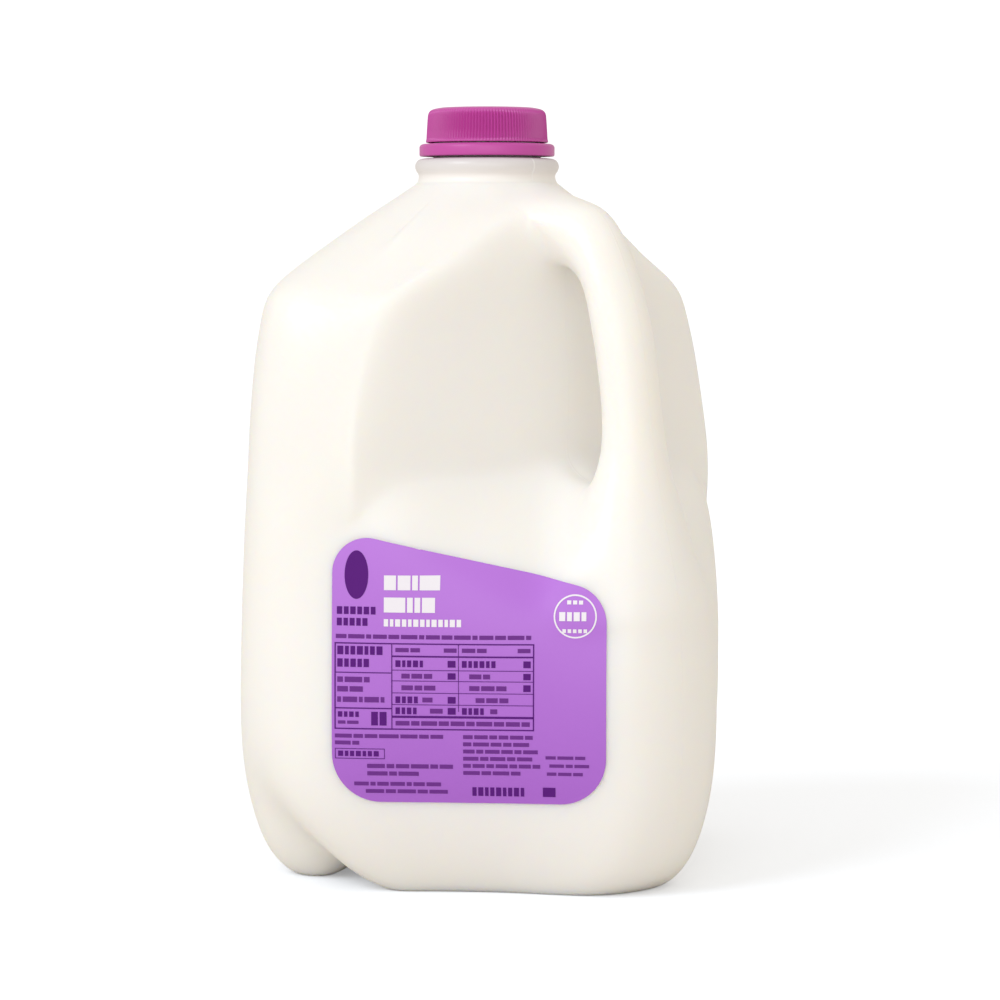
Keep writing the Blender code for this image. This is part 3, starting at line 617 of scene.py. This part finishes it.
def smooth_skin(level):
    """The outer skin from the base up to the neck root, open at the top and flat on the floor."""
    shell = skin_cage()
    pass_through_stations(shell)
    mesh = bpy.data.meshes.new("skin_cage")
    shell.to_mesh(mesh)
    shell.free()
    cage = bpy.data.objects.new("skin_cage", mesh)
    bpy.context.scene.collection.objects.link(cage)
    smooth = cage.modifiers.new("smooth", "SUBSURF")
    smooth.levels = level
    smooth.render_levels = level
    skin = bmesh.new()
    skin.from_mesh(cage.evaluated_get(bpy.context.evaluated_depsgraph_get()).to_mesh())
    bpy.data.objects.remove(cage, do_unlink=True)
    for vert in skin.verts:
        vert.co.z = max(vert.co.z, 0.0)
    return skin


def put_on_ring(verts, radius, height):
    for vert in verts:
        turn = math.atan2(vert.co.y, vert.co.x)
        vert.co = Vector((radius * math.cos(turn), radius * math.sin(turn), height))


def turn_profile(shell, rim, profile):
    """Draw a round rim along a profile in millimetres, and give the last rim."""
    for radius, height in profile:
        rim = grow_rim(shell, rim)
        put_on_ring(verts_of(rim), radius * MM, height * MM)
    return rim


def close_rim(shell, rim):
    bmesh.ops.contextual_create(shell, geom=rim)


# Pieces.


def add_piece(name, shell, materials, sharp):
    """A smooth-shaded piece that stays sharp where it turns by more than some degrees."""
    bmesh.ops.recalc_face_normals(shell, faces=shell.faces[:])
    mesh = bpy.data.meshes.new(name)
    shell.to_mesh(mesh)
    shell.free()
    mesh.shade_smooth()
    mesh.set_sharp_from_angle(angle=math.radians(sharp))
    for material in materials:
        mesh.materials.append(material)
    piece = bpy.data.objects.new(name, mesh)
    bpy.context.scene.collection.objects.link(piece)
    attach(piece, "root")
    return piece


def make_bottle(materials):
    """The bottle as a closed skin, its second material from the neck's root up."""
    skin = smooth_skin(SKIN_LEVEL)
    rim = [edge for edge in skin.edges if edge.is_boundary]
    put_on_ring(verts_of(rim), *NECK_ROOT)
    rim = turn_profile(skin, rim, NECK_OUTSIDE + NECK_INSIDE)
    close_rim(skin, rim)
    bottle = add_piece("jug_bottle", skin, materials, SOFT_TURN)
    for face in bottle.data.polygons:
        face.material_index = 1 if face.center.z > NECK_ROOT[1] else 0
    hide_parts("bottle")
    return bottle


def make_filling(material):
    """Milk that reaches just into the wall, with a flat top under the neck."""
    filling = smooth_skin(FILLING_LEVEL)
    rim = [edge for edge in filling.edges if edge.is_boundary]
    put_on_ring(verts_of(rim), *NECK_ROOT)
    close_rim(filling, rim)
    filling.normal_update()
    for vert in filling.verts:
        vert.co -= vert.normal * MILK_IN_WALL
    everything = filling.verts[:] + filling.edges[:] + filling.faces[:]
    bmesh.ops.bisect_plane(
        filling, geom=everything, plane_co=(0.0, 0.0, MILK_LEVEL), plane_no=(0.0, 0.0, 1.0), clear_outer=True,
    )
    close_rim(filling, [edge for edge in filling.edges if edge.is_boundary])
    milk = add_piece("milk_filling", filling, [material], MILK_TURN)
    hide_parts("milk")


def rib_wave(turn):
    """0 on a rib's crown and 1 in the groove beside it."""
    wave = (1.0 - math.cos(turn * RIB_COUNT)) / 2.0
    return wave ** RIB_CROWN


def make_cap(material):
    """Screw cap with a ribbed skirt and a sunk crown, hollow from below."""
    shell = bmesh.new()
    bmesh.ops.create_circle(shell, segments=RIB_COUNT * POINTS_A_RIB, radius=CAP_ROOF_RADIUS, cap_ends=True)
    bmesh.ops.translate(shell, verts=shell.verts[:], vec=(0.0, 0.0, CAP_TOP - CAP_ROOF))
    rim = shell.edges[:]
    for radius, height, ribbed in CAP_PROFILE:
        rim = grow_rim(shell, rim)
        for vert in verts_of(rim):
            turn = math.atan2(vert.co.y, vert.co.x)
            reach = radius * MM - RIB_DEPTH * ribbed * rib_wave(turn)
            vert.co = Vector((reach * math.cos(turn), reach * math.sin(turn), height * MM))
    close_rim(shell, rim)
    cap = add_piece("ribbed_cap", shell, [material], CAP_TURN)
    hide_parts("cap")


def make_band(material):
    """Plain ring that stays on the neck when the cap is first turned."""
    shell = bmesh.new()
    bmesh.ops.create_circle(shell, segments=BAND_STEPS, radius=BAND_BORE)
    bmesh.ops.translate(shell, verts=shell.verts[:], vec=(0.0, 0.0, BAND_FOOT))
    turn_profile(shell, shell.edges[:], BAND_PROFILE)
    bmesh.ops.remove_doubles(shell, verts=shell.verts[:], dist=WELD)
    band = add_piece("tear_band", shell, [material], SOFT_TURN)
    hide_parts("tamper_band")


def label_outline():
    """Rounded outline of the label, as distance along the face and height."""
    corners = [Vector(corner[:2]) for corner in LABEL_CORNERS]
    outline = []
    for index, here in enumerate(corners):
        radius = LABEL_CORNERS[index][2]
        back = (corners[index - 1] - here).normalized()
        onward = (corners[(index + 1) % len(corners)] - here).normalized()
        half_angle = back.angle(onward) / 2.0
        inset = radius / math.tan(half_angle)
        centre = here + (back + onward).normalized() * radius / math.sin(half_angle)
        start = (here + back * inset - centre).normalized()
        end = (here + onward * inset - centre).normalized()
        for step in range(LABEL_ARC_STEPS + 1):
            place = start.slerp(end, step / LABEL_ARC_STEPS).normalized()
            outline.append(centre + place * radius)
    return outline


def cut_in_squares(flat, step):
    """Cut a flat outline along and across, so that it can bend with the skin."""
    lows = [min(vert.co[axis] for vert in flat.verts) for axis in (0, 1)]
    highs = [max(vert.co[axis] for vert in flat.verts) for axis in (0, 1)]
    for axis, (low, high) in enumerate(zip(lows, highs)):
        normal = Vector((1.0, 0.0, 0.0)) if axis == 0 else Vector((0.0, 1.0, 0.0))
        for index in range(1, int((high - low) / step) + 1):
            everything = flat.verts[:] + flat.edges[:] + flat.faces[:]
            place = normal * (low + index * step)
            bmesh.ops.bisect_plane(flat, geom=everything, plane_co=place, plane_no=normal)


def wrap_on_face(flat, skin_tree, lift):
    """Bend a flat shape, drawn as distance along the face and height, on to the skin."""
    for vert in flat.verts:
        start = FACE_ALONG * vert.co.x + FACE_NORMAL * OUTSIDE_SKIN + Vector((0.0, 0.0, vert.co.y))
        place, normal, _, _ = skin_tree.ray_cast(start, -FACE_NORMAL)
        vert.co = place + normal * (lift + vert.co.z)


def add_film(name, flat, skin_tree, lift, thickness, material):
    """Wrap a flat shape on the label's face and give it a thickness."""
    wrap_on_face(flat, skin_tree, lift)
    flat.normal_update()
    for face in flat.faces:
        if face.normal.dot(FACE_NORMAL) < 0.0:
            face.normal_flip()
    flat.normal_update()
    for face in flat.faces:
        face.smooth = True
    for edge in flat.edges:
        edge.smooth = not edge.is_boundary
    mesh = bpy.data.meshes.new(name)
    flat.to_mesh(mesh)
    flat.free()
    mesh.materials.append(material)
    piece = bpy.data.objects.new(name, mesh)
    bpy.context.scene.collection.objects.link(piece)
    film = piece.modifiers.new("film", "SOLIDIFY")
    film.thickness = thickness
    film.offset = 1.0
    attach(piece, "root")
    return piece


def make_label(skin_tree, material):
    """The label's film, bent round the face."""
    flat = bmesh.new()
    flat.faces.new([flat.verts.new((place.x, place.y, 0.0)) for place in label_outline()])
    cut_in_squares(flat, LABEL_SQUARE)
    bmesh.ops.remove_doubles(flat, verts=flat.verts[:], dist=SHORT_EDGE)
    label = add_film("printed_label", flat, skin_tree, LABEL_LIFT, LABEL_THICKNESS, material)
    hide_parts("label")


def add_block(flat, left, right, low, high):
    """A flat rectangle, divided so that it can bend with the skin."""
    steps = max(1, math.ceil((right - left) * MM / LABEL_SQUARE))
    rises = max(1, math.ceil((high - low) * MM / LABEL_SQUARE))
    centre = Matrix.Translation(((left + right) / 2.0 * MM, (low + high) / 2.0 * MM, 0.0))
    shape = Matrix.Diagonal(((right - left) * MM, (high - low) * MM, 1.0, 1.0))
    bmesh.ops.create_grid(flat, x_segments=steps, y_segments=rises, size=0.5, matrix=centre @ shape)


def add_row(flat, left, right, low, high, widths):
    """A row of blocks with a small gap between them."""
    start = left
    index = 0
    while start + widths[index % len(widths)] <= right + ROW_SLACK:
        end = start + widths[index % len(widths)]
        add_block(flat, start, end, low, high)
        start = end + BLOCK_GAP
        index += 1


def add_oval(flat):
    """A plain filled oval."""
    centre = Matrix.Translation(Vector((*OVAL_CENTRE, 0.0)) * MM)
    shape = Matrix.Diagonal((*OVAL_HALF, 1.0, 1.0))
    bmesh.ops.create_circle(flat, cap_ends=True, segments=ROUND_STEPS, radius=MM, matrix=centre @ shape)


def add_seal_ring(flat):
    """A thin ring, as a circle widened outward."""
    centre = Vector((*SEAL_CENTRE, 0.0)) * MM
    inner_radius = SEAL_RADIUS - SEAL_LINE
    made = bmesh.ops.create_circle(
        flat, segments=ROUND_STEPS, radius=inner_radius * MM, matrix=Matrix.Translation(centre),
    )
    inner = set(made["verts"])
    rim = [edge for edge in flat.edges if edge.verts[0] in inner and edge.verts[1] in inner]
    grown = bmesh.ops.extrude_edge_only(flat, edges=rim)["geom"]
    for vert in verts_of(edges_of(grown)) - inner:
        vert.co = centre + (vert.co - centre) * (SEAL_RADIUS / inner_radius)


def make_print(skin_tree, bold_ink, small_ink, white_ink):
    """The label's print as plain bars, blocks, one oval and one ring."""
    bold = bmesh.new()
    for line in TABLE_LINES:
        add_block(bold, *line)
    for row in BOLD_ROWS:
        add_row(bold, *row)
    add_oval(bold)
    add_film("bold_print", bold, skin_tree, PRINT_LIFT, PRINT_THICKNESS, bold_ink)
    small = bmesh.new()
    for row in SMALL_ROWS:
        add_row(small, *row)
    add_film("small_print", small, skin_tree, PRINT_LIFT, PRINT_THICKNESS, small_ink)
    white = bmesh.new()
    for row in WHITE_ROWS:
        add_row(white, *row)
    add_seal_ring(white)
    add_film("white_print", white, skin_tree, PRINT_LIFT, PRINT_THICKNESS, white_ink)


# Materials.


def new_group(name, outputs):
    """A node group with number outputs, its output node and its object coordinates."""
    group = bpy.data.node_groups.new(name, "ShaderNodeTree")
    for output in outputs:
        group.interface.new_socket(name=output, in_out="OUTPUT", socket_type="NodeSocketFloat")
    coords = group.nodes.new("ShaderNodeTexCoord").outputs["Object"]
    return group, group.nodes.new("NodeGroupOutput"), coords


def add_noise(tree, coords, scale, detail):
    noise = tree.nodes.new("ShaderNodeTexNoise")
    noise.inputs["Scale"].default_value = scale
    noise.inputs["Detail"].default_value = detail
    tree.links.new(coords, noise.inputs["Vector"])
    return noise.outputs[0]


def map_range(tree, value, span, target):
    """Map one span of numbers on to another, held at its ends."""
    mapped = tree.nodes.new("ShaderNodeMapRange")
    for index, number in enumerate((*span, *target), 1):
        mapped.inputs[index].default_value = number
    tree.links.new(value, mapped.inputs[0])
    return mapped.outputs[0]


def add_math(tree, operation, one, other=None):
    """One step of arithmetic on a socket, and on a number or a second socket where there is one."""
    step = tree.nodes.new("ShaderNodeMath")
    step.operation = operation
    tree.links.new(one, step.inputs[0])
    if isinstance(other, float):
        step.inputs[1].default_value = other
    elif other is not None:
        tree.links.new(other, step.inputs[1])
    return step.outputs[0]


def grain_group():
    """Soft clouds and a fine grain, shared by the moulded pieces and the label."""
    group, out, coords = new_group("moulded_grain", ("Clouds", "Grain"))
    group.links.new(add_noise(group, coords, CLOUD_SCALE, 0.0), out.inputs["Clouds"])
    group.links.new(add_noise(group, coords, GRAIN_SCALE, GRAIN_DETAIL), out.inputs["Grain"])
    return group


def split_coords(tree, coords, axis):
    """One of the three coordinates."""
    split = tree.nodes.new("ShaderNodeSeparateXYZ")
    tree.links.new(coords, split.inputs[0])
    return split.outputs[axis]


def height_share(tree, span, target):
    """How far up a span of heights a place is, as a number in the target span."""
    coords = tree.nodes.new("ShaderNodeTexCoord").outputs["Object"]
    return map_range(tree, split_coords(tree, coords, "Z"), span, target)


def seam_group():
    """A thin line on the plane between the two halves of the bottle's mould."""
    group, out, coords = new_group("mould_seam", ("Seam",))
    away = add_math(group, "ABSOLUTE", split_coords(group, coords, "Y"))
    group.links.new(map_range(group, away, (SEAM_CORE, SEAM_EDGE), (1.0, 0.0)), out.inputs["Seam"])
    return group


def use_group(tree, group):
    node = tree.nodes.new("ShaderNodeGroup")
    node.node_tree = group
    return node


def mix_colours(tree, share, low, high, blend="MIX"):
    """Mix two colours, each a constant or a socket, by a share that is a number or a socket."""
    mix = tree.nodes.new("ShaderNodeMix")
    mix.data_type = "RGBA"
    mix.blend_type = blend
    if isinstance(share, float):
        mix.inputs["Factor"].default_value = share
    else:
        tree.links.new(share, mix.inputs["Factor"])
    for name, colour in (("A", low), ("B", high)):
        socket = [item for item in mix.inputs if item.name == name and item.type == "RGBA"][0]
        if isinstance(colour, tuple):
            socket.default_value = (*colour, 1.0)
        else:
            tree.links.new(colour, socket)
    return [item for item in mix.outputs if item.type == "RGBA"][0]


def add_bump(tree, shader, height, depth):
    bump = tree.nodes.new("ShaderNodeBump")
    bump.inputs["Distance"].default_value = depth
    tree.links.new(height, bump.inputs["Height"])
    tree.links.new(bump.outputs["Normal"], shader.inputs["Normal"])


def clouded_material(name, grain, roughness):
    """A material whose roughness drifts with the clouds; its colour is for the caller to set."""
    material = bpy.data.materials.new(name)
    material.use_nodes = True
    tree = material.node_tree
    shader = tree.nodes["Principled BSDF"]
    surface = use_group(tree, grain)
    drift = map_range(tree, surface.outputs["Clouds"], (0.0, 1.0), roughness)
    tree.links.new(drift, shader.inputs["Roughness"])
    return material, tree, shader, surface


def add_seam(tree, shader, surface, seam):
    """Raise the mould's seam over the fine grain, and give the seam's line."""
    line = use_group(tree, seam).outputs["Seam"]
    grain = add_math(tree, "MULTIPLY", surface.outputs["Grain"], GRAIN_BESIDE_SEAM)
    add_bump(tree, shader, add_math(tree, "ADD", grain, line), SEAM_RISE)
    return line


def bottle_material(grain, seam):
    """Milky plastic that lets light through, with the mould's seam."""
    material, tree, shader, surface = clouded_material("milky_plastic", grain, BOTTLE_ROUGHNESS)
    colour = mix_colours(tree, surface.outputs["Clouds"], *BOTTLE_COLOURS)
    tree.links.new(colour, shader.inputs["Base Color"])
    add_seam(tree, shader, surface, seam)
    shader.inputs["Subsurface Weight"].default_value = LIGHT_THROUGH
    shader.inputs["Subsurface Radius"].default_value = LIGHT_REACH_BY_COLOUR
    shader.inputs["Subsurface Scale"].default_value = LIGHT_REACH
    return material


def neck_material(grain, seam):
    """Thin clear-milky plastic with painted shade: greyer up the neck where the empty hollow shows through,
    whiter near the milk below, with a faint painted pink reflection of the cap at the top.
    """
    material, tree, shader, surface = clouded_material("neck_plastic", grain, NECK_ROUGHNESS)
    line = add_seam(tree, shader, surface, seam)
    # Painted shade and the cap's painted pink reflection, by height up the neck.
    ramp = tree.nodes.new("ShaderNodeValToRGB")
    tree.links.new(height_share(tree, NECK_PAINTED_SHADE_SPAN, (0.0, 1.0)), ramp.inputs[0])
    stops = ramp.color_ramp.elements
    for _ in range(len(NECK_PAINTED_SHADE_STOPS) - len(stops)):
        stops.new(1.0)
    for stop, (place, colour) in zip(stops, NECK_PAINTED_SHADE_STOPS):
        stop.position = place
        stop.color = (*colour, 1.0)
    share = add_math(tree, "MULTIPLY", line, NECK_SEAM_SHARE)
    pale = mix_colours(tree, share, ramp.outputs["Color"], NECK_SEAM_COLOUR)
    clouds = map_range(tree, surface.outputs["Clouds"], (0.0, 1.0), (1.0 - DRIFT, 1.0))
    tree.links.new(mix_colours(tree, 1.0, pale, clouds, "MULTIPLY"), shader.inputs["Base Color"])
    return material


def plain_material(name, grain, colour, roughness):
    """One colour that drifts a little, with the fine grain."""
    material, tree, shader, surface = clouded_material(name, grain, roughness)
    low = tuple(part * (1.0 - DRIFT) for part in colour)
    high = tuple(min(part * (1.0 + DRIFT), 1.0) for part in colour)
    tree.links.new(mix_colours(tree, surface.outputs["Clouds"], low, high), shader.inputs["Base Color"])
    add_bump(tree, shader, surface.outputs["Grain"], GRAIN_RISE)
    return material


def ink_material(name, grain, colour):
    """Matt ink, with so little shine that the dark print stays deep."""
    material, tree, shader, surface = clouded_material(name, grain, INK_ROUGHNESS)
    low = tuple(part * (1.0 - DRIFT) for part in colour)
    tree.links.new(mix_colours(tree, surface.outputs["Clouds"], low, colour), shader.inputs["Base Color"])
    add_bump(tree, shader, surface.outputs["Grain"], GRAIN_RISE)
    shader.inputs["Specular IOR Level"].default_value = INK_SHINE
    return material


def film_material(grain):
    """Violet film with painted light: paler towards its upper edge, where more light and sheen fall on it."""
    material, tree, shader, surface = clouded_material("violet_film", grain, FILM_ROUGHNESS)
    # Painted light: the film's colour gets paler with height.
    height = height_share(tree, FILM_PAINTED_LIGHT_SPAN, (0.0, 1.0 - FILM_CLOUDS))
    clouds = add_math(tree, "MULTIPLY", surface.outputs["Clouds"], FILM_CLOUDS)
    share = add_math(tree, "ADD", height, clouds)
    tree.links.new(mix_colours(tree, share, FILM_LOW, FILM_PAINTED_LIGHT_TOP), shader.inputs["Base Color"])
    add_bump(tree, shader, surface.outputs["Grain"], GRAIN_RISE)
    shader.inputs["Coat Weight"].default_value = FILM_COAT
    shader.inputs["Coat Roughness"].default_value = FILM_COAT_ROUGHNESS
    return material


# Stage.


def choose_by_view(tree, seen, unseen, output):
    """One shader where the camera looks straight at it, and another for all other light."""
    path = tree.nodes.new("ShaderNodeLightPath")
    choice = tree.nodes.new("ShaderNodeMixShader")
    tree.links.new(path.outputs["Is Camera Ray"], choice.inputs[0])
    tree.links.new(unseen.outputs[0], choice.inputs[1])
    tree.links.new(seen.outputs[0], choice.inputs[2])
    tree.links.new(choice.outputs[0], output.inputs["Surface"])


def floor_material():
    """White paper: the camera sees it lifted to pure white, and it bounces less light than that."""
    material = bpy.data.materials.new("floor_white")
    material.use_nodes = True
    nodes = material.node_tree.nodes
    seen = nodes["Principled BSDF"]
    seen.inputs["Base Color"].default_value = (*FLOOR_COLOUR, 1.0)
    seen.inputs["Roughness"].default_value = FLOOR_ROUGHNESS
    seen.inputs["Specular IOR Level"].default_value = 0.0
    seen.inputs["Emission Color"].default_value = (*WHITE, 1.0)
    seen.inputs["Emission Strength"].default_value = FLOOR_LIFT
    bounce = nodes.new("ShaderNodeBsdfDiffuse")
    bounce.inputs["Color"].default_value = (*FLOOR_BOUNCE, 1.0)
    choose_by_view(material.node_tree, seen, bounce, nodes["Material Output"])
    return material


def add_floor():
    flat = bmesh.new()
    bmesh.ops.create_grid(flat, x_segments=1, y_segments=1, size=FLOOR_REACH)
    mesh = bpy.data.meshes.new("studio_floor")
    flat.to_mesh(mesh)
    flat.free()
    mesh.materials.append(floor_material())
    floor = bpy.data.objects.new("studio_floor", mesh)
    bpy.context.scene.collection.objects.link(floor)


def direction(azimuth, elevation):
    """Direction from the jug, with azimuth 0 along -Y and turning towards +X."""
    flat = math.cos(elevation)
    return Vector((math.sin(azimuth) * flat, -math.cos(azimuth) * flat, math.sin(elevation)))


def add_camera():
    """The camera at the photo's angle."""
    lens = bpy.data.cameras.new("camera")
    lens.lens = CAMERA_LENS
    lens.sensor_width = CAMERA_SENSOR
    lens.shift_x = CAMERA_SHIFT_X
    camera = bpy.data.objects.new("camera", lens)
    bpy.context.scene.collection.objects.link(camera)
    camera.location = direction(CAMERA_AZIMUTH, 0.0) * CAMERA_DISTANCE + Vector((0.0, 0.0, CAMERA_HEIGHT))
    camera.rotation_euler = Euler((math.radians(90.0) - CAMERA_PITCH, 0.0, CAMERA_AZIMUTH))
    bpy.context.scene.camera = camera


def add_sun(name, azimuth, elevation, spread, strength, colour):
    """A soft lamp that shines on the jug from one direction."""
    lamp = bpy.data.lights.new(name, "SUN")
    lamp.color = colour
    lamp.angle = math.radians(spread)
    lamp.energy = strength
    light = bpy.data.objects.new(name, lamp)
    away = direction(math.radians(azimuth), math.radians(elevation))
    light.rotation_euler = (-away).to_track_quat("-Z", "Y").to_euler()
    bpy.context.scene.collection.objects.link(light)


def add_world():
    """Even warm light all round, in front of a backdrop that the camera sees as white."""
    world = bpy.data.worlds.new("studio")
    world.use_nodes = True
    nodes = world.node_tree.nodes
    studio = nodes["Background"]
    studio.inputs["Color"].default_value = (*WORLD_COLOUR, 1.0)
    studio.inputs["Strength"].default_value = WORLD_STRENGTH
    backdrop = nodes.new("ShaderNodeBackground")
    backdrop.inputs["Color"].default_value = (*WHITE, 1.0)
    backdrop.inputs["Strength"].default_value = BACKDROP_STRENGTH
    choose_by_view(world.node_tree, backdrop, studio, nodes["World Output"])
    bpy.context.scene.world = world


def surface_tree(piece):
    """A piece's surface, ready to be met by rays."""
    shell = bmesh.new()
    shell.from_mesh(piece.data)
    tree = BVHTree.FromBMesh(shell)
    shell.free()
    return tree


def main():
    bpy.context.scene.view_settings.view_transform = "Standard"
    add_camera()
    add_world()
    for sun in SUNS:
        add_sun(*sun)
    add_floor()
    grain = grain_group()
    seam = seam_group()
    bottle = make_bottle([bottle_material(grain, seam), neck_material(grain, seam)])
    skin_tree = surface_tree(bottle)
    make_filling(plain_material("fresh_milk", grain, MILK_COLOUR, MILK_ROUGHNESS))
    magenta = plain_material("magenta_plastic", grain, MAGENTA, MAGENTA_ROUGHNESS)
    make_cap(magenta)
    make_band(magenta)
    make_label(skin_tree, film_material(grain))
    inks = [ink_material(name, grain, colour) for name, colour in INKS]
    make_print(skin_tree, *inks)


main()
